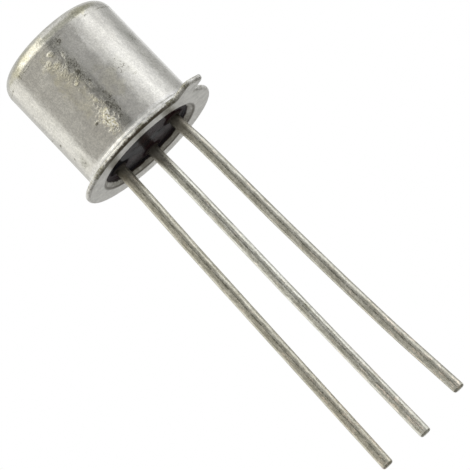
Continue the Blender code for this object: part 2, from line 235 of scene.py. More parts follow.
# Places of the colour sockets on a Mix node, which has sockets of the same name for each kind of data
MIX_FIRST = 6
MIX_SECOND = 7
MIX_RESULT = 2

CLOUD_SPAN = (0.3, 0.7)      # range in which a broad noise passes from one colour to the other
NOISE_SPAN = (0.32, 0.68)    # the same for a noise that tints


class Finish(Tree):
    """A procedural material that is painted in the object's own millimetres."""

    def __init__(self, name):
        self.material = bpy.data.materials.new(name)
        self.material.use_nodes = True
        super().__init__(self.material.node_tree)
        self.shader = self.nodes["Principled BSDF"]
        metres = self.node("ShaderNodeTexCoord", {}, {}, "Object")
        self.place = self.scaled(metres, (1 / MM, 1 / MM, 1 / MM))

    def scaled(self, vector, factors):
        return self.node("ShaderNodeVectorMath", {"operation": "MULTIPLY"}, {0: vector, 1: factors})

    def axis(self, name):
        return self.node("ShaderNodeSeparateXYZ", {}, {0: self.place}, name)

    def noise(self, per_mm, stretch=(1.0, 1.0, 1.0), detail=2.0, roughness=0.5):
        """Noise with about this many features to a millimetre, between 0 and 1."""
        vector = self.scaled(self.place, stretch)
        sockets = {"Vector": vector, "Scale": per_mm, "Detail": detail, "Roughness": roughness}
        return self.node("ShaderNodeTexNoise", {}, sockets)

    def near(self, point, reach, stretch=(1.0, 1.0, 1.0), core=0.0, ragged=0.0):
        """Mask that is 1 within a core round a point and 0 beyond its reach, measured in stretched space.

        The distance is lengthened by the ragged value, for a mark with an uneven outline."""
        here = self.scaled(self.place, stretch)
        there = tuple(a * b for a, b in zip(point, stretch))
        settings = {"operation": "DISTANCE"}
        distance = self.node("ShaderNodeVectorMath", settings, {0: here, 1: there}, "Value")
        return self.between(distance + ragged, reach, core)

    def blend(self, factor, first, second):
        """Mix of two colours, each a tuple or a value of this tree."""
        sockets = {0: factor}
        for place, colour in ((MIX_FIRST, first), (MIX_SECOND, second)):
            sockets[place] = (*colour, 1.0) if isinstance(colour, tuple) else colour
        return self.node("ShaderNodeMix", {"data_type": "RGBA"}, sockets, MIX_RESULT)

    def tinted(self, colour, tint):
        """Colour multiplied by a tint."""
        settings = {"data_type": "RGBA", "blend_type": "MULTIPLY"}
        sockets = {0: 1.0, MIX_FIRST: colour, MIX_SECOND: (*tint, 1.0)}
        return self.node("ShaderNodeMix", settings, sockets, MIX_RESULT)

    def clouded(self, amount, dark, light):
        """One colour that passes into another as a broad noise rises."""
        return self.blend(self.between(amount, *CLOUD_SPAN), dark, light)

    def varied(self, colour, amount, dark, light):
        """Colour tinted from a dark tint to a light one as a noise rises."""
        mask = self.between(amount, *NOISE_SPAN)
        return self.blend(mask, self.tinted(colour, dark), self.tinted(colour, light))

    def raised(self, height, distance, under=None):
        """Bump of a height between 0 and 1 that stands for the given distance in millimetres."""
        sockets = {"Height": height, "Distance": distance * MM, "Strength": 1.0}
        if under is not None:
            sockets["Normal"] = under
        return self.node("ShaderNodeBump", {}, sockets)

    def finish(self, colour, roughness, metallic, normal, **uniform):
        """The material, once its shader is fed; a further input is named with _ for each space."""
        sockets = {"Base Color": colour, "Roughness": roughness, "Metallic": metallic, "Normal": normal}
        for key, value in (*sockets.items(), *uniform.items()):
            self.feed(self.shader.inputs[key.replace("_", " ")], value)
        return self.material


# Worn places on the can: angle from the camera's side towards +X, height, reach round the can, reach up it,
# and depth
RUBBED = (
    (-8.8, 1.15, 0.31, 0.52, 1.25),
    (-9.5, 1.20, 0.42, 0.70, 0.66),
    (-14.0, 3.95, 0.30, 0.20, 0.40),
    (-7.0, 4.20, 0.20, 0.12, 0.42),
    (-10.0, 3.72, 0.22, 0.16, 0.40),
    (-8.0, 2.81, 0.12, 0.12, 0.55),
    (-5.0, 1.95, 0.16, 0.16, 0.60),
    (-9.0, 3.30, 0.30, 0.95, 0.34),
    (-4.0, 2.00, 0.20, 0.80, 0.38),
    (0.5, 2.45, 0.13, 0.35, 0.36),
    (1.0, 3.85, 0.12, 0.22, 0.40),
    (148.0, 2.2, 0.5, 0.7, 0.5),
    (-122.0, 3.4, 0.4, 0.5, 0.45),
)
TARNISHED = (
    (1.5, 3.40, 0.24, 1.25, 0.52),
    (2.5, 1.40, 0.28, 0.85, 0.62),
    (5.5, 4.36, 0.20, 0.18, 0.70),
    (0.4, 3.10, 0.10, 0.12, 1.0),
    (3.0, 1.55, 0.12, 0.28, 0.68),
    (2.0, 2.62, 0.10, 0.22, 0.70),
    (-3.0, 3.45, 0.08, 0.16, 0.72),
    (-19.3, 1.36, 0.09, 0.07, 1.3),
    (-42.4, 4.51, 0.14, 0.12, 0.8),
    (66.0, 3.05, 0.24, 0.30, 0.6),
    (-70.0, 2.0, 0.14, 0.08, 1.0),
    (-67.0, 1.3, 0.12, 0.07, 1.0),
    (-60.0, 0.9, 0.30, 0.40, 0.5),
    (36.0, 1.80, 0.14, 0.04, 0.5),
    (-78.0, 2.4, 0.16, 0.08, 0.8),
    (30.0, 2.3, 0.5, 0.5, 0.35),
    (170.0, 1.4, 0.5, 0.4, 0.6),
)
SCRATCHED = (
    (70.0, 1.8, 0.9, 1.1, 1.0),
    (-66.0, 3.0, 0.9, 1.4, 1.0),
    (-150.0, 2.6, 0.9, 1.2, 1.0),
)
YELLOWED = (
    (-13.0, 2.6, 0.50, 2.6, 1.0),
    (15.0, 2.1, 0.45, 1.0, 0.6),
    (-42.0, 4.75, 0.5, 0.3, 1.3),
    (-20.0, 4.90, 1.0, 0.4, 1.3),
    (38.0, 4.78, 0.8, 0.25, 1.3),
)
DULLED = (
    (64.0, 3.15, 0.42, 0.55, 1.0),
    (-58.0, 1.0, 0.35, 0.5, 0.8),
    (12.0, 3.0, 0.4, 0.5, 0.3),
    (100.0, 1.5, 0.7, 0.8, 0.8),
)
FULLY_WORN = 0.25            # share of a worn place's reach that is worn through
RAGGEDNESS = 1.8             # how uneven its outline is, as a share of its reach
WORN_EDGE = (0.02, 0.3)      # depths of wear between which flakes and specks set in
CROWN_LINE_DROP = 0.05       # from the crown's foot down to the thin line of painted shade
CROWN_LINE = CAN_HEIGHT - CAN_TOP_CORNER - CROWN_LINE_DROP
CROWN_LINE_WIDTH = 0.06      # how far the line fades to either side
CROWN_BLEND = 0.15           # height over which the wall's finish passes into the crown's
PAINTED_FOOT_HIGHLIGHT = (0.62, 0.36)   # heights between which the painted highlight of the foot sets in

CAN_PLATING = ((0.615, 0.605, 0.580), (0.680, 0.673, 0.652))
TARNISH_BLACK = (0.12, 0.11, 0.09)
GLINT_WHITE = (1.0, 0.98, 0.91)


def worn(f, places):
    """Mask of worn places on the can's wall, with uneven outlines."""
    ragged = (f.noise(4.0, detail=3.0, roughness=0.6) - 0.5) * RAGGEDNESS
    spots = []
    for angle, height, across, along, depth in places:
        stretch = (1.0, 1.0, across / along)
        spot = f.near(on_can(angle, height), across, stretch, across * FULLY_WORN, ragged * across)
        spots.append(spot * depth)
    return reduce(or_, spots)


def plated_can():
    """Satin plating on drawn steel: cloudy, finely drawn along the can, with scuffs and dark specks, painted
    sheen and glints on the scuffs, a thin painted shade line at the crown's foot and a painted highlight on
    the foot.
    """
    f = Finish("plated_can_finish")
    height = f.axis("Z")
    cloud = f.noise(0.8, (1.0, 1.0, 0.55), detail=3.0, roughness=0.55)
    mottle = f.noise(4.6, (1.0, 1.0, 0.8), detail=4.0, roughness=0.65)
    draw_lines = f.noise(16.0, (1.0, 1.0, 0.05))
    cross_lines = f.noise(14.0, (0.25, 0.25, 1.0), detail=3.0, roughness=0.6)
    grain = f.noise(15.0, detail=3.0, roughness=0.75)
    flakes = f.noise(13.0, detail=3.0, roughness=0.65)
    specks = f.noise(17.0, (1.0, 1.0, 0.8), detail=3.0, roughness=0.7)
    crown = f.between(height, CROWN_LINE, CROWN_LINE + CROWN_BLEND)
    # Painted shade: a thin dark broken line where the crown's rounding meets the wall
    crown_shade_line = f.between(height, CROWN_LINE - CROWN_LINE_WIDTH, CROWN_LINE)
    crown_shade_line = crown_shade_line * f.between(height, CROWN_LINE + CROWN_LINE_WIDTH, CROWN_LINE)
    foot = f.between(height, *PAINTED_FOOT_HIGHLIGHT)
    rubbed = worn(f, RUBBED)
    # Real tarnish spots, together with the painted shade line at the crown's foot
    tarnish_and_crown_shade = worn(f, TARNISHED) | crown_shade_line * f.between(cloud, 0.35, 0.6) * 0.7
    scratched = worn(f, SCRATCHED)
    yellowed = worn(f, YELLOWED)
    dulled = worn(f, DULLED)

    # Painted sheen and glints on the real scuffs: their colour is brightened past the plating's and flecked
    # with white
    glowing = f.between(rubbed, 0.2, 1.0)
    painted_glints = f.between(specks + glowing * 0.19, 0.61, 0.77) * f.between(rubbed, *WORN_EDGE)
    soot = f.between(grain + (tarnish_and_crown_shade | rubbed * 0.55) * 0.24, 0.62, 0.70)
    dark_flakes = soot * f.between(tarnish_and_crown_shade | rubbed, *WORN_EDGE)

    colour = f.clouded(cloud, *CAN_PLATING)
    colour = f.varied(colour, mottle, (0.91, 0.91, 0.905), (1.06, 1.06, 1.045))
    colour = f.varied(colour, grain, (0.86, 0.86, 0.85), (1.08, 1.08, 1.07))
    crown_colour = f.varied(colour, flakes, (0.84, 0.84, 0.82), (1.12, 1.12, 1.11))
    colour = f.blend(crown, colour, crown_colour)
    scratch_colour = f.varied(colour, cross_lines, (0.86, 0.86, 0.85), (1.08, 1.08, 1.08))
    colour = f.blend(scratched, colour, scratch_colour)
    yellow = yellowed * f.between(cloud, 0.30, 0.55)
    colour = f.blend(yellow, colour, f.tinted(colour, (0.98, 0.96, 0.85)))
    colour = f.blend(dulled * 0.8, colour, f.tinted(colour, (0.82, 0.83, 0.82)))
    colour = f.blend(tarnish_and_crown_shade * 0.6, colour, f.tinted(colour, (0.99, 0.99, 0.92)))
    colour = f.blend(dark_flakes * 0.8, colour, TARNISH_BLACK)
    # Painted sheen: the scuffs' colour is brightened; white flecks stand in for glints
    colour = f.blend(glowing, colour, f.tinted(colour, (1.44, 1.38, 1.12)))
    colour = f.blend(painted_glints, colour, GLINT_WHITE)
    # Painted highlight: the foot's colour is brightened into a light band
    foot_highlight_colour = f.varied(colour, mottle, (1.20, 1.22, 1.29), (1.60, 1.62, 1.72))
    colour = f.blend(foot * 0.9, colour, foot_highlight_colour)

    roughness = 0.235 + (cloud - 0.5) * 0.10 + (mottle - 0.5) * 0.10
    roughness = roughness + (glowing + painted_glints) * 0.15 + tarnish_and_crown_shade * 0.06 + foot * 0.28
    metallic = 1.0 - painted_glints * (0.25 + glowing * 0.45)
    normal = f.raised(cloud, 0.05)
    normal = f.raised(draw_lines, 0.0010, normal)
    normal = f.raised(grain, 0.0020, normal)
    normal = f.raised(flakes * (rubbed + tarnish_and_crown_shade * 0.3 + crown * 0.12), 0.042, normal)
    return f.finish(colour, roughness, metallic, normal)


DARK_EDGE_HEIGHTS = (0.082, 0.056)     # heights on the rim's lower rounding between which a darker brown sets in
DARK_EDGE_SIDE = (-1.9, -2.7)       # how far towards the camera's side that band thickens
DARK_EDGE_END = (2.0, 1.4)        # how far towards +X it ends
SEAL_SHADE_HEIGHTS = (0.120, 0.155)   # heights up the bend between which the painted shade where the glass seal meets it sets in
BEND_SHADE_LINE_HEIGHTS = (0.045, 0.02)        # heights up the bend between which the painted shade line at its foot sets in

# Stains on the rim: place in plan and reach
STAINS = (
    (-1.85, -2.15, 0.40),
    (1.54, -2.39, 0.24),
    (2.26, -2.72, 0.20),
    (0.2, -2.84, 0.25),
    (2.5, 1.3, 0.3),
)
STAIN_LEVEL = 0.1            # height of their centres
STAIN_CORE = 0.6             # share of a stain's reach that it covers fully

HEADER_PLATING = ((0.630, 0.620, 0.595), (0.700, 0.693, 0.670))
DULL_PATCH = (0.50, 0.49, 0.46)
OLIVE_SPECK = (0.34, 0.32, 0.24)
OLIVE_STAIN = (0.20, 0.19, 0.125)
EDGE_BROWN = (0.12, 0.10, 0.07)
BEND_PAINTED_SHADE = (0.29, 0.27, 0.23)
BEND_SHADE_LINE_BROWN = (0.15, 0.135, 0.11)
SEAL_EDGE_SHADE = (0.035, 0.027, 0.022)


def plated_header():
    """The same plating on the stamped header, duller, with a painted highlight on the rim, a darker brown
    band along its lower rounding, and painted shade in the bend and where the glass meets it.
    """
    f = Finish("plated_header_finish")
    height = f.axis("Z")
    flat = f.scaled(f.place, (1.0, 1.0, 0.0))
    radius = f.node("ShaderNodeVectorMath", {"operation": "LENGTH"}, {0: flat}, "Value")
    cloud = f.noise(1.3, detail=3.0, roughness=0.55)
    patches = f.noise(2.6, detail=3.0, roughness=0.6)
    mottle = f.noise(6.0, detail=3.0, roughness=0.65)
    grain = f.noise(15.0, roughness=0.7)
    rounding = RIM_RADIUS - RIM_BOTTOM
    rim = f.between(radius, rounding - 0.06, rounding + 0.02) * f.between(height, 0.0, 0.01)
    darker_side = f.between(f.axis("Y"), *DARK_EDGE_SIDE) * f.between(f.axis("X"), *DARK_EDGE_END)
    dark_edge_height = height + (mottle - 0.5) * 0.18 + (grain - 0.5) * 0.12 - darker_side * 0.025
    edge = f.between(dark_edge_height, *DARK_EDGE_HEIGHTS) * rim
    stains = []
    for x, y, reach in STAINS:
        ragged = (mottle - 0.5) * reach * RAGGEDNESS
        stains.append(f.near((x, y, STAIN_LEVEL), reach, core=reach * STAIN_CORE, ragged=ragged))
    stained = reduce(or_, stains)
    bend = f.between(radius, BEND_RADIUS + 0.02, HEADER_WALL_RADIUS) * f.between(height, 0.0, 0.02)
    seal_edge_shade = f.between(height + (patches - 0.5) * 0.12, *SEAL_SHADE_HEIGHTS) * bend
    bend_shade_line = f.between(height, 0.0, 0.006) * f.between(height, *BEND_SHADE_LINE_HEIGHTS)
    bend_shade_line = bend_shade_line * f.between(radius, BEND_RADIUS + 0.06, BEND_RADIUS)
    speckled = f.between(mottle, 0.54, 0.64) * rim

    colour = f.clouded(cloud, *HEADER_PLATING)
    colour = f.varied(colour, grain, (0.90, 0.90, 0.89), (1.06, 1.06, 1.05))
    colour = f.varied(colour, patches, (0.87, 0.87, 0.865), (1.10, 1.10, 1.10))
    colour = f.varied(colour, mottle, (0.93, 0.93, 0.925), (1.05, 1.05, 1.045))
    colour = f.blend(f.between(mottle, 0.55, 0.75) * 0.45, colour, DULL_PATCH)
    # Painted highlight: the rim's colour is brightened
    rim_highlight_colour = f.varied(colour, grain, (1.05, 1.06, 1.08), (1.42, 1.43, 1.46))
    colour = f.blend(rim * 0.8, colour, rim_highlight_colour)
    colour = f.blend(speckled * 0.6, colour, OLIVE_SPECK)
    colour = f.blend(stained * rim * f.between(grain, 0.35, 0.55) * 0.9, colour, OLIVE_STAIN)
    # A darker brown band along the rim's lower rounding, heavier on the camera's side
    colour = f.blend(edge * (darker_side * 0.8 + 0.15), colour, EDGE_BROWN)
    # Painted shade: patchy darkening in the bend of the recess
    colour = f.blend(bend * f.between(mottle, 0.3, 0.6) * 0.6, colour, BEND_PAINTED_SHADE)
    # Painted shade: a dark line at the foot of the bend
    colour = f.blend(bend_shade_line * 0.8, colour, BEND_SHADE_LINE_BROWN)
    # Painted shade: near-black band up the bend where the glass seal meets it
    colour = f.blend(seal_edge_shade, colour, SEAL_EDGE_SHADE)
    roughness = 0.36 + (cloud - 0.5) * 0.14 + (mottle - 0.5) * 0.24 + bend * 0.12 + rim * 0.08
    normal = f.raised(grain, 0.0045)
    normal = f.raised(mottle, 0.012, normal)
    normal = f.raised(mottle * rim, 0.030, normal)
    return f.finish(colour, roughness, 1.0, normal)


DULL_RING = 0.26             # how far from a lead the glass is dull
GLASS_VIOLET = (0.005, 0.005, 0.007)
GLASS_RED = (0.014, 0.005, 0.006)
WETTED_BROWN = (0.036, 0.031, 0.025)


def dark_glass():
    """Near-black sealing glass with a reddish and a violet cast, browner where it wets the leads."""
    f = Finish("dark_glass_finish")
    cloud = f.noise(1.1)
    ripple = f.noise(3.0)
    collars = []
    rings = []
    for place in LEAD_PLACES.values():
        point = (place.x, place.y, COLLAR_END)
        collars.append(f.near(point, LEAD_RADIUS + COLLAR_WIDTH, core=LEAD_RADIUS + COLLAR_LIP))
        rings.append(f.near(point, LEAD_RADIUS + DULL_RING, core=LEAD_RADIUS + COLLAR_WIDTH))
    colour = f.blend(f.between(cloud, 0.35, 0.65), GLASS_VIOLET, GLASS_RED)
    colour = f.blend(reduce(or_, collars) * 0.9, colour, WETTED_BROWN)
    roughness = 0.20 + f.between(ripple, 0.4, 0.7) * 0.12 + reduce(or_, rings) * 0.5
    normal = f.raised(ripple, 0.006)
    return f.finish(colour, roughness, 0.0, normal, Specular_IOR_Level=0.012)


ROOT_SHADE_HEIGHTS = (-1.3, 0.1)               # heights between which a lead is painted darker towards the glass, as shade and a reflection of the dark glass
TUCKED_SHADE_HEIGHTS = (-0.22, 0.12)      # and between which it is painted darker still, as shade inside the header
HANDLED_END = (-7.5, -11.5)      # and between which wear by handling sets in

TIN = ((0.46, 0.45, 0.395), (0.64, 0.632, 0.58))
TIN_OLIVE = (0.37, 0.36, 0.29)
HANDLED_BROWN = (0.27, 0.24, 0.17)
COPPER_SHINE = (0.88, 0.77, 0.65)
PIT_BROWN = (0.16, 0.125, 0.095)
ROOT_SHADE_BROWN = (0.27, 0.235, 0.185)
TUCKED_SHADE_BROWN = (0.11, 0.10, 0.08)


def tinned_lead(name, light_tint):
    """Hot-tinned wire: warm grey with an olive cast, streaked lengthwise, gritty, coppery where worn, with
    painted shade towards the glass and a tint per lead that is painted light.
    """
    f = Finish(name + "_finish")
    height = f.axis("Z")
    streak = f.noise(9.0, (1.0, 1.0, 0.18), detail=3.0, roughness=0.6)
    thin_streak = f.noise(14.0, (1.0, 1.0, 0.12))
    mottle = f.noise(5.0, (1.0, 1.0, 0.4), detail=3.0, roughness=0.6)
    grain = f.noise(13.0, (1.0, 1.0, 0.60), detail=3.0, roughness=0.75)
    root = f.between(height, *ROOT_SHADE_HEIGHTS)
    tucked_shade = f.between(height, *TUCKED_SHADE_HEIGHTS)
    handled = f.between(height, *HANDLED_END)
    coppery = f.between(thin_streak + handled * 0.08, 0.62, 0.70) * f.between(grain, 0.40, 0.58)
    pits = f.between(grain + handled * 0.03, 0.60, 0.70) * f.between(mottle, 0.48, 0.58)

    colour = f.blend(f.between(streak, 0.35, 0.65), *TIN)
    colour = f.blend(f.between(mottle, 0.52, 0.75) * 0.55, colour, TIN_OLIVE)
    colour = f.varied(colour, grain, (0.74, 0.74, 0.72), (1.19, 1.19, 1.17))
    colour = f.blend(handled * f.between(streak, 0.50, 0.62) * 0.45, colour, HANDLED_BROWN)
    colour = f.blend(coppery * 0.8, colour, COPPER_SHINE)
    colour = f.blend(pits * 0.7, colour, PIT_BROWN)
    # Painted light: the same tinning is made lighter or darker for each lead
    colour = f.tinted(colour, light_tint)
    # Painted shade and reflection: darker towards the glass and inside the header
    colour = f.blend(root * 0.6, colour, ROOT_SHADE_BROWN)
    colour = f.blend(tucked_shade * 0.55, colour, TUCKED_SHADE_BROWN)
    roughness = 0.24 + (streak - 0.5) * 0.2 + (grain - 0.5) * 0.2 + root * 0.12
    normal = f.raised(streak, 0.007)
    normal = f.raised(grain, 0.005, normal)
    return f.finish(colour, roughness, 1.0, normal)


SILICON = ((0.09, 0.10, 0.14), (0.15, 0.12, 0.16))
GOLD = ((0.80, 0.57, 0.21), (0.90, 0.68, 0.31))


def silicon():
    """Polished chip with faint oxide colours."""
    f = Finish("silicon_finish")
    cloud = f.noise(6.0)
    return f.finish(f.clouded(cloud, *SILICON), 0.16 + cloud * 0.1, 0.4, f.raised(f.noise(40.0), 0.0004))


def gold():
    """Fine gold with a slightly uneven lustre."""
    f = Finish("gold_finish")
    cloud = f.noise(12.0, detail=3.0)
    return f.finish(f.clouded(cloud, *GOLD), 0.22 + cloud * 0.14, 1.0, f.raised(cloud, 0.001))


def arc(centre_x, centre_z, radius, start, end, steps):
    """Points of an arc in the X-Z plane, from start to end in degrees."""
    points = []
    for step in range(steps + 1):
        angle = radians(start + (end - start) * step / steps)
        points.append((centre_x + radius * cos(angle), centre_z + radius * sin(angle)))
    return points


def straight(start, end, steps):
    """Points between two corners, the outer ones close to the corners, so that the stretch shades flat."""
    a, b = Vector(start), Vector(end)
    margin = CORNER_MARGIN / (b - a).length
    shares = [margin] + [step / steps for step in range(1, steps)] + [1 - margin]
    return [tuple(a.lerp(b, share)) for share in shares]


def turns():
    """Angles all the way round the can or the glass."""
    return [2 * pi * i / TURN_STEPS for i in range(TURN_STEPS)]


def in_scene(name, data):
    """New object for a mesh, a lamp or a camera, linked to the scene."""
    item = bpy.data.objects.new(name, data)
    bpy.context.scene.collection.objects.link(item)
    return item


def closed_mesh(name, rings, first_pole, last_pole):
    """Skin through rings with equal numbers of points, closed by a point at either end."""
    shape = bmesh.new()
    rows = [[shape.verts.new(Vector(point) * MM) for point in ring] for ring in rings]
    count = len(rows[0])
    for row, following in zip(rows, rows[1:]):
        for i in range(count):
            j = (i + 1) % count
            shape.faces.new((row[i], row[j], following[j], following[i]))
    for row, pole in ((rows[0], first_pole), (rows[-1], last_pole)):
        tip = shape.verts.new(Vector(pole) * MM)
        for i in range(count):
            shape.faces.new((row[i], row[(i + 1) % count], tip))
    bmesh.ops.recalc_face_normals(shape, faces=shape.faces)
    mesh = bpy.data.meshes.new(name)
    shape.to_mesh(mesh)
    shape.free()
    return in_scene(name, mesh)


def shade(piece, sharp):
    """Smooth shading, except where faces meet at more than the sharp angle in degrees."""
    piece.data.shade_smooth()
    piece.data.set_sharp_from_angle(angle=radians(sharp))


def bored(piece, centres, radius, low, high):
    """Bores a round hole through the piece at each centre, from low to high."""
    cutters = []
    for centre in centres:
        angles = [2 * pi * (i + 0.5) / HOLE_SIDES for i in range(HOLE_SIDES)]
        ring = [(radius * cos(angle), radius * sin(angle)) for angle in angles]
        rings = [[(centre.x + x, centre.y + y, z) for x, y in ring] for z in (low, high)]
        cutter = closed_mesh("bore", rings, (centre.x, centre.y, low), (centre.x, centre.y, high))
        modifier = piece.modifiers.new("Bore", "BOOLEAN")
        modifier.operation = "DIFFERENCE"
        modifier.solver = "EXACT"
        modifier.object = cutter
        cutters.append(cutter)
    bpy.context.view_layer.update()
    evaluated = piece.evaluated_get(bpy.context.evaluated_depsgraph_get())
    mesh = bpy.data.meshes.new_from_object(evaluated)
    piece.modifiers.clear()
    piece.data = mesh
    for cutter in cutters:
        bpy.data.objects.remove(cutter, do_unlink=True)


def dress(piece, material, node):
    """Puts the piece in the place of the frame's node, with its finish."""
    piece.data.materials.clear()
    piece.data.materials.append(material)
    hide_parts(node)
    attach(piece, "root")


def make_can(material):
    """Drawn can: crown, wall and weld flange, with the slight waves that drawing leaves in the wall."""
    base = WELD_FLANGE_BASE
    top = base + CAN_SHEET
    edge = WELD_FLANGE_EDGE
    edge_x = WELD_FLANGE_RADIUS - edge
    bend_x = CAN_RADIUS + CAN_FOOT_FILLET
    bend_z = top + CAN_FOOT_FILLET
    corner_x = CAN_RADIUS - CAN_TOP_CORNER
    corner_z = CAN_HEIGHT - CAN_TOP_CORNER
    inner = CAN_RADIUS - CAN_SHEET
    inner_top = CAN_HEIGHT - CAN_SHEET
    profile = straight((CAN_CENTRE_RING, CAN_HEIGHT), (corner_x, CAN_HEIGHT), CAN_TOP_STEPS)
    profile += arc(corner_x, corner_z, CAN_TOP_CORNER, 90, 0, CAN_CORNER_STEPS)
    profile += straight((CAN_RADIUS, corner_z), (CAN_RADIUS, bend_z), CAN_WALL_STEPS)
    profile += arc(bend_x, bend_z, CAN_FOOT_FILLET, 180, 270, CAN_FOOT_STEPS)
    profile += straight((bend_x, top), (edge_x, top), FLAT_STEPS)
    profile += arc(edge_x, top - edge, edge, 90, 0, WELD_EDGE_STEPS)
    profile += arc(edge_x, base + edge, edge, 0, -90, WELD_EDGE_STEPS)
    profile += straight((edge_x, base), (bend_x, base), FLAT_STEPS)
    profile += arc(bend_x, bend_z, CAN_FOOT_FILLET + CAN_SHEET, 270, 180, CAN_FOOT_STEPS)
    profile += straight((inner, bend_z), (inner, corner_z), CAN_INNER_WALL_STEPS)
    profile += arc(corner_x, corner_z, CAN_TOP_CORNER - CAN_SHEET, 0, 90, CAN_INNER_CORNER_STEPS)
    profile += straight((corner_x, inner_top), (CAN_CENTRE_RING, inner_top), FLAT_STEPS)
    rings = []
    for radius, height in profile:
        ring = []
        from_ends = min(height - bend_z, CAN_HEIGHT - height)
        depth = CAN_WAVE * max(0.0, min(1.0, from_ends / CAN_WAVE_FADE))
        for angle in turns():
            round_x = CAN_WAVES_ROUND * cos(angle)
            round_y = CAN_WAVES_ROUND * sin(angle)
            wave = noise.noise(Vector((round_x, round_y, height * CAN_WAVES_UP)))
            r = radius - depth * (1 + wave)
            ring.append((r * cos(angle), r * sin(angle), height))
        rings.append(ring)
    can = closed_mesh("can_shell", rings, (0, 0, CAN_HEIGHT), (0, 0, inner_top))
    shade(can, sharp=60.0)
    dress(can, material, "cap")


def flange_outline():
    """Plan of the flange with its tab, as (point, outward direction) pairs, all the way round."""
    half = TAB_WIDTH / 2
    tip = RIM_RADIUS + TAB_LENGTH
    fillet = TAB_ROOT_FILLET
    root_x = sqrt((RIM_RADIUS + fillet) ** 2 - (half + fillet) ** 2)
    root_angle = atan2(half + fillet, root_x)
    pairs = []

    def sweep(centre, radius, start, end, steps, outward=1.0):
        for step in range(steps + 1):
            angle = start + (end - start) * step / steps
            way = Vector((cos(angle), sin(angle)))
            pairs.append((Vector(centre) + way * radius, way * outward))

    def side(y, start_x, end_x):
        for step in range(1, TAB_SIDE_STEPS):
            x = start_x + (end_x - start_x) * step / TAB_SIDE_STEPS
            pairs.append((Vector((x, y)), Vector((0.0, y / half))))

    side(-half, root_x, tip - TAB_CORNER)
    sweep((tip - TAB_CORNER, -half + TAB_CORNER), TAB_CORNER, -pi / 2, 0, TAB_CORNER_STEPS)
    sweep((tip - TAB_CORNER, half - TAB_CORNER), TAB_CORNER, 0, pi / 2, TAB_CORNER_STEPS)
    side(half, tip - TAB_CORNER, root_x)
    sweep((root_x, half + fillet), fillet, 1.5 * pi, pi + root_angle, TAB_FILLET_STEPS, -1.0)
    sweep((0.0, 0.0), RIM_RADIUS, root_angle, 2 * pi - root_angle, OUTLINE_STEPS)
    sweep((root_x, -half - fillet), fillet, pi - root_angle, pi / 2, TAB_FILLET_STEPS, -1.0)
    turn = Matrix.Rotation(radians(TAB_ANGLE), 2)
    return [(turn @ point, turn @ outward) for point, outward in pairs]


def make_header(material):
    """Stamped header whose rounded edge runs on round the index tab."""
    outline = flange_outline()

    def circle(radius, height):
        return [(*(point.normalized() * radius), height) for point, _ in outline]

    def edge(inset, height):
        return [(*(point - outward * inset), height) for point, outward in outline]

    bend_z = HEADER_SHEET + HEADER_BEND
    corner_x = HEADER_WALL_RADIUS - HEADER_CORNER
    corner_z = HEADER_HEIGHT - HEADER_CORNER
    wall = HEADER_WALL_RADIUS
    profile = [(CENTRE_RING, HEADER_HEIGHT)]
    profile += straight((CENTRE_RING, HEADER_HEIGHT), (corner_x, HEADER_HEIGHT), FLAT_STEPS)
    profile += arc(corner_x, corner_z, HEADER_CORNER, 90, 0, HEADER_CORNER_STEPS)
    profile += straight((wall, corner_z), (wall, bend_z), FLAT_STEPS)
    profile += arc(BEND_RADIUS, bend_z, HEADER_BEND, 180, 270, HEADER_BEND_STEPS)
    profile += [(BEND_RADIUS + FLAT_MARGIN, HEADER_SHEET)]
    rings = [circle(radius, height) for radius, height in profile]
    rings.append(edge(RIM_TOP + FLAT_MARGIN, HEADER_SHEET))
    for x, z in arc(0.0, 0.0, RIM_TOP, 90, 0, RIM_TOP_STEPS):
        rings.append(edge(RIM_TOP - x, HEADER_SHEET - RIM_TOP + z))
    for x, z in arc(0.0, 0.0, RIM_BOTTOM, 0, -90, RIM_BOTTOM_STEPS):
        rings.append(edge(RIM_BOTTOM - x, RIM_BOTTOM + z))
    rings.append(edge(RIM_BOTTOM + FLAT_MARGIN, 0.0))
    inner = wall - HEADER_SHEET
    profile = [(BEND_RADIUS + FLAT_MARGIN, 0.0)]
    profile += arc(BEND_RADIUS, bend_z, HEADER_BEND + HEADER_SHEET, 270, 180, HEADER_UNDER_BEND_STEPS)
    profile += straight((inner, bend_z), (inner, corner_z), FLAT_STEPS)
    profile += arc(corner_x, corner_z, HEADER_CORNER - HEADER_SHEET, 0, 90, HEADER_INNER_CORNER_STEPS)
    profile += straight((corner_x, PLATFORM_UNDERSIDE), (CENTRE_RING, PLATFORM_UNDERSIDE), FLAT_STEPS)
    rings += [circle(radius, height) for radius, height in profile]
    header = closed_mesh("stamped_header", rings, (0, 0, HEADER_HEIGHT), (0, 0, PLATFORM_UNDERSIDE))
    insulated = (LEAD_PLACES["lead_emitter"], LEAD_PLACES["lead_base"])
    low = PLATFORM_UNDERSIDE - BORE_MARGIN
    bored(header, insulated, SLEEVE_RADIUS + SEAT_GAP, low, HEADER_HEIGHT + BORE_MARGIN)
    shade(header, sharp=40.0)
    dress(header, material, "header")


def glass_level(x, y, rim):
    """Height of the glass's lower face, which creeps round the header's bend and wets each lead."""
    wall = max(0.0, (sqrt(x * x + y * y) - rim + GLASS_EDGE_WIDTH) / GLASS_EDGE_WIDTH)
    level = GLASS_RECESS - GLASS_EDGE_DROP * min(1.0, wall) ** 2
    foot = LEAD_RADIUS + COLLAR_WIDTH
    lip = LEAD_HOLE_RADIUS + COLLAR_LIP
    for place in LEAD_PLACES.values():
        near = (foot - sqrt((x - place.x) ** 2 + (y - place.y) ** 2)) / (foot - lip)
        near = max(0.0, min(1.0, near))
        level -= (GLASS_RECESS - COLLAR_END) * near**COLLAR_POWER
    return max(level, COLLAR_END)


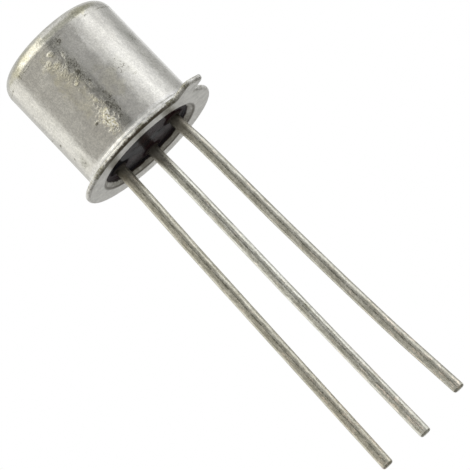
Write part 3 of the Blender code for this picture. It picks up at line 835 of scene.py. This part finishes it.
def make_glass(material):
    """Glass seal with a smooth meniscus at the bend and round the leads."""
    corner_x = HEADER_WALL_RADIUS - HEADER_CORNER
    corner_z = HEADER_HEIGHT - HEADER_CORNER
    corner = HEADER_CORNER - HEADER_SHEET - SEAT_GAP
    bend_z = HEADER_SHEET + HEADER_BEND
    turn = asin((bend_z - GLASS_RECESS + GLASS_EDGE_DROP) / GLASS_CREEP)
    rim = BEND_RADIUS - GLASS_CREEP * cos(turn)
    profile = [(CENTRE_RING, GLASS_TOP)]
    profile += arc(corner_x, corner_z, corner, 90, 0, GLASS_CORNER_STEPS)
    profile += arc(BEND_RADIUS, bend_z, GLASS_CREEP, 180, 180 + degrees(turn), GLASS_CORNER_STEPS)
    rings = []
    for radius, height in profile:
        rings.append([(radius * cos(angle), radius * sin(angle), height) for angle in turns()])
    for step in range(1, GLASS_FACE_STEPS):
        radius = rim * (1 - step / GLASS_FACE_STEPS)
        ring = [(radius * cos(angle), radius * sin(angle)) for angle in turns()]
        rings.append([(x, y, glass_level(x, y, rim)) for x, y in ring])
    glass = closed_mesh("glass_seal_body", rings, (0, 0, GLASS_TOP), (0, 0, GLASS_RECESS))
    glass.modifiers.new("Flat faces for the bores", "TRIANGULATE")
    bored(glass, LEAD_PLACES.values(), LEAD_HOLE_RADIUS, 0.0, HEADER_HEIGHT)
    shade(glass, sharp=50.0)
    dress(glass, material, "glass_seal")


def smooth_value(knots, share):
    """Smooth curve through knots of (share, value), flat where it starts."""
    count = len(knots)
    slopes = [0.0]
    for i in range(1, count - 1):
        slopes.append((knots[i + 1][1] - knots[i - 1][1]) / (knots[i + 1][0] - knots[i - 1][0]))
    slopes.append((knots[-1][1] - knots[-2][1]) / (knots[-1][0] - knots[-2][0]))
    i = max(k for k in range(count - 1) if knots[k][0] <= share)
    width = knots[i + 1][0] - knots[i][0]
    t = (share - knots[i][0]) / width
    start = (2 * t**3 - 3 * t**2 + 1) * knots[i][1] + (t**3 - 2 * t**2 + t) * width * slopes[i]
    end = (3 * t**2 - 2 * t**3) * knots[i + 1][1] + (t**3 - t**2) * width * slopes[i + 1]
    return start + end


LAST_SHARE = 0.9999          # largest share of a lead's length, just short of its last knot

# Each lead's stray, and a tint of its tinning that is painted light: the base lead is painted lighter than
# the others
LEADS = {
    "lead_emitter": (EMITTER_STRAY, (1.04, 1.04, 1.04)),
    "lead_base": (BASE_STRAY, (1.23, 1.25, 1.29)),
    "lead_collector": (COLLECTOR_STRAY, (1.02, 1.01, 0.98)),
}


def make_lead(node, name, stray, material):
    """Tinned wire from its post down through the glass, slightly uneven, with rounded ends."""
    low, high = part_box(node)
    top = high.z / MM
    bottom = low.z / MM
    free = COLLAR_END - bottom
    place = LEAD_PLACES[node]

    def centre(z):
        share = max(0.0, min(LAST_SHARE, (COLLAR_END - z) / free))
        return Vector((place.x + smooth_value(stray, share), place.y, z))

    stations = []
    for x, z in arc(0.0, 0.0, LEAD_POST_ROUNDING, 90, 0, LEAD_POST_STEPS):
        stations.append((top - LEAD_POST_ROUNDING + z, LEAD_RADIUS - LEAD_POST_ROUNDING + x))
    length = top - bottom - LEAD_POST_ROUNDING - LEAD_END_ROUNDING
    for step in range(1, LEAD_STEPS):
        stations.append((top - LEAD_POST_ROUNDING - length * step / LEAD_STEPS, LEAD_RADIUS))
    for x, z in arc(0.0, 0.0, LEAD_END_ROUNDING, 0, 90, LEAD_END_STEPS):
        stations.append((bottom + LEAD_END_ROUNDING - z, LEAD_RADIUS - LEAD_END_ROUNDING + x))
    rings = []
    for z, radius in stations:
        middle = centre(z)
        ring = []
        for i in range(LEAD_SIDES):
            angle = 2 * pi * i / LEAD_SIDES
            way = Vector((cos(angle), sin(angle), 0.0))
            uneven = noise.noise(middle * LEAD_WAVES_ALONG + way * LEAD_WAVES_ROUND)
            ring.append(middle + way * radius * (1 + LEAD_UNEVENNESS * uneven))
        rings.append(ring)
    lead = closed_mesh(name + "_wire", rings, centre(top), centre(bottom))
    shade(lead, sharp=50.0)
    dress(lead, material, node)


# Studio. Azimuths are seen from above, from the camera's side towards +X, and all angles are in degrees
FLOOR_LEVEL = -34.0
FLOOR_REACH = 2000.0
FLOOR_COLOUR = (0.80, 0.80, 0.79)
FLOOR_ROUGHNESS = 0.7
BACKDROP_BLEND = (80.0, 400.0)   # distances between which the floor passes into the white backdrop
WHITE = (1.0, 1.0, 1.0, 1.0)
SOFT_WHITE = 0.65                # strength of the world for diffuse light

# Curved cards: name, azimuths, elevations and colour
CARD_RADIUS = 90.0
CARD_STEPS = 24
CARDS = (
    ("grey_card_left", (-94.0, -9.0), (-6.0, 27.0), (0.535, 0.52, 0.485)),
    ("bright_card_above_left", (-84.0, -12.0), (27.0, 46.0), (1.78, 1.74, 1.59)),
    ("bright_card_high_left", (-106.0, -22.0), (46.0, 78.0), (1.74, 1.70, 1.56)),
    ("warm_card_high_left", (-136.0, -106.0), (46.0, 78.0), (0.70, 0.69, 0.64)),
    ("dark_card_camera", (-9.0, 9.0), (-6.0, 27.0), (0.14, 0.14, 0.13)),
    ("grey_card_right", (9.0, 49.0), (-6.0, 32.0), (0.50, 0.495, 0.485)),
    ("olive_card_above", (-12.0, 80.0), (32.0, 46.0), (0.57, 0.57, 0.52)),
    ("olive_card_high", (-22.0, 80.0), (46.0, 72.0), (0.57, 0.57, 0.52)),
    ("olive_card_above_right", (80.0, 150.0), (32.0, 60.0), (0.50, 0.50, 0.46)),
    ("grey_card_back_right", (111.0, 152.0), (-6.0, 32.0), (0.55, 0.55, 0.54)),
    ("warm_card_left", (-136.0, -94.0), (-6.0, 27.0), (1.15, 1.135, 1.085)),
    ("warm_card_above_back_left", (-136.0, -84.0), (27.0, 46.0), (0.86, 0.84, 0.74)),
    ("pale_card_back_left", (-186.0, -136.0), (-6.0, 22.0), (0.74, 0.735, 0.71)),
    ("grey_card_above_back", (-204.0, -136.0), (22.0, 72.0), (0.73, 0.73, 0.715)),
)
GROUND_CARD_LEVEL = -26.0
GROUND_CARD_CORNERS = ((-140.0, -200.0), (140.0, 45.0))
GROUND_CARD_COLOUR = (0.29, 0.285, 0.265)

# Area lamps: name, azimuth, elevation, distance, width, height, brightness of the face, seen in reflections
SOFTBOXES = (
    ("softbox_right", 79.0, 14.0, 150.0, 64.0, 160.0, 0.45, True),
    ("softbox_top", 30.0, 80.0, 170.0, 150.0, 150.0, 1.6, False),
)


def direction(azimuth, elevation):
    """Unit vector that points away from the part at an azimuth and an elevation."""
    a, e = radians(azimuth), radians(elevation)
    return Vector((sin(a) * cos(e), -cos(a) * cos(e), sin(e)))


def new_surface(piece, name):
    """Node tree of a new material on the piece."""
    material = bpy.data.materials.new(name)
    material.use_nodes = True
    piece.data.materials.append(material)
    return Tree(material.node_tree)


def level_mesh(name, corners, level):
    """Level rectangle between two corners."""
    (x0, y0), (x1, y1) = corners
    plan = ((x0, y0), (x1, y0), (x1, y1), (x0, y1))
    mesh = bpy.data.meshes.new(name)
    mesh.from_pydata([(x * MM, y * MM, level * MM) for x, y in plan], [], [(0, 1, 2, 3)])
    return mesh


def curved_mesh(name, azimuths, elevations):
    """Upright part of a cylinder that stands round the part."""
    shape = bmesh.new()
    rows = []
    for elevation in elevations:
        height = CARD_RADIUS * tan(radians(elevation))
        row = []
        for step in range(CARD_STEPS + 1):
            angle = radians(azimuths[0] + (azimuths[1] - azimuths[0]) * step / CARD_STEPS)
            point = Vector((CARD_RADIUS * sin(angle), -CARD_RADIUS * cos(angle), height))
            row.append(shape.verts.new(point * MM))
        rows.append(row)
    for i in range(CARD_STEPS):
        shape.faces.new((rows[0][i], rows[0][i + 1], rows[1][i + 1], rows[1][i]))
    mesh = bpy.data.meshes.new(name)
    shape.to_mesh(mesh)
    shape.free()
    return mesh


def hang_card(name, mesh, colour):
    """Card that only shows in reflections, as the grey and bright cards round a photographed part do."""
    card = in_scene(name, mesh)
    f = new_surface(card, name)
    emission = f.node("ShaderNodeEmission", {}, {"Color": (*colour, 1.0)})
    f.feed(f.nodes["Material Output"].inputs["Surface"], emission)
    card.visible_camera = False
    card.visible_diffuse = False
    card.visible_shadow = False


def hang_cards():
    """Curved cards round the part, and a dark one that lies below it, a little above the floor."""
    for name, azimuths, elevations, colour in CARDS:
        hang_card(name, curved_mesh(name, azimuths, elevations), colour)
    ground = level_mesh("ground_card", GROUND_CARD_CORNERS, GROUND_CARD_LEVEL)
    hang_card("ground_card", ground, GROUND_CARD_COLOUR)


def make_floor():
    """Plain pale floor that takes the object's shadow and runs into the white backdrop further out."""
    corners = ((-FLOOR_REACH, -FLOOR_REACH), (FLOOR_REACH, FLOOR_REACH))
    floor = in_scene("floor", level_mesh("floor", corners, FLOOR_LEVEL))
    f = new_surface(floor, "floor_finish")
    shader = f.nodes["Principled BSDF"]
    shader.inputs["Base Color"].default_value = (*FLOOR_COLOUR, 1.0)
    shader.inputs["Roughness"].default_value = FLOOR_ROUGHNESS
    place = f.node("ShaderNodeTexCoord", {}, {}, "Object")
    distance = f.node("ShaderNodeVectorMath", {"operation": "LENGTH"}, {0: place}, "Value")
    start, end = BACKDROP_BLEND
    far = f.between(distance, start * MM, end * MM)
    backdrop = f.node("ShaderNodeEmission", {}, {"Color": WHITE})
    pale = Value(f, shader.outputs["BSDF"])
    mixed = f.node("ShaderNodeMixShader", {}, {0: far, 1: pale, 2: backdrop})
    f.feed(f.nodes["Material Output"].inputs["Surface"], mixed)


def make_world():
    """White backdrop for what is seen, mirrored or seen through, and a softer white for diffuse light."""
    world = bpy.data.worlds.new("studio")
    world.use_nodes = True
    bpy.context.scene.world = world
    w = Tree(world.node_tree)
    background = w.nodes["Background"]
    background.inputs["Color"].default_value = WHITE
    background.inputs["Strength"].default_value = SOFT_WHITE
    soft = Value(w, background.outputs["Background"])
    white = w.node("ShaderNodeBackground", {}, {"Color": WHITE, "Strength": 1.0})
    rays = ("Is Camera Ray", "Is Glossy Ray", "Is Transmission Ray")
    seen = reduce(or_, [w.node("ShaderNodeLightPath", {}, {}, ray) for ray in rays])
    mixed = w.node("ShaderNodeMixShader", {}, {0: seen, 1: soft, 2: white})
    w.feed(w.nodes["World Output"].inputs["Surface"], mixed)


def make_softbox(name, azimuth, elevation, distance, width, height, brightness, mirrored):
    """Area lamp that faces the can, with a power worked out from the brightness of its face."""
    lamp = bpy.data.lights.new(name, "AREA")
    lamp.shape = "RECTANGLE"
    lamp.size = width * MM
    lamp.size_y = height * MM
    lamp.energy = brightness * pi * width * MM * height * MM
    item = in_scene(name, lamp)
    way = direction(azimuth, elevation)
    item.location = way * distance * MM
    item.rotation_mode = "QUATERNION"
    item.rotation_quaternion = way.to_track_quat("Z", "Y")
    item.visible_camera = False
    item.visible_glossy = mirrored


def make_camera():
    """Camera placed so that the object's origin and scale fall where they do in the photograph."""
    azimuth, roll = radians(CAMERA_AZIMUTH), radians(CAMERA_ROLL)
    back = direction(CAMERA_AZIMUTH, CAMERA_ELEVATION)
    level_right = Vector((cos(azimuth), sin(azimuth), 0.0))
    level_up = back.cross(level_right)
    right = level_right * cos(roll) - level_up * sin(roll)
    up = level_right * sin(roll) + level_up * cos(roll)
    middle = PICTURE_SIDE / 2
    across = (middle - ORIGIN_PIXEL[0]) / PIXELS_PER_MM
    above = (ORIGIN_PIXEL[1] - middle) / PIXELS_PER_MM
    lens = bpy.data.cameras.new("camera")
    lens.sensor_width = SENSOR_WIDTH
    lens.lens = SENSOR_WIDTH * PIXELS_PER_MM * CAMERA_DISTANCE / PICTURE_SIDE
    lens.clip_start = NEAREST_SEEN * MM
    lens.clip_end = FARTHEST_SEEN * MM
    camera = in_scene("camera", lens)
    camera.location = (right * across + up * above + back * CAMERA_DISTANCE) * MM
    camera.rotation_mode = "QUATERNION"
    camera.rotation_quaternion = Matrix((right, up, back)).transposed().to_quaternion()
    bpy.context.scene.camera = camera


def main():
    make_can(plated_can())
    make_header(plated_header())
    make_glass(dark_glass())
    for node, (stray, light_tint) in LEADS.items():
        name = node.replace("lead_", "") + "_lead"
        make_lead(node, name, stray, tinned_lead(name, light_tint))
    gold_finish = gold()
    inner = {
        "chip": silicon(),
        "die_bond": gold_finish,
        "emitter_bond_wire": gold_finish,
        "base_bond_wire": gold_finish,
    }
    for node, material in inner.items():
        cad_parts[node].data.materials.clear()
        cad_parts[node].data.materials.append(material)
    make_floor()
    make_world()
    hang_cards()
    for softbox in SOFTBOXES:
        make_softbox(*softbox)
    make_camera()
    bpy.context.scene.view_settings.view_transform = "Standard"


main()
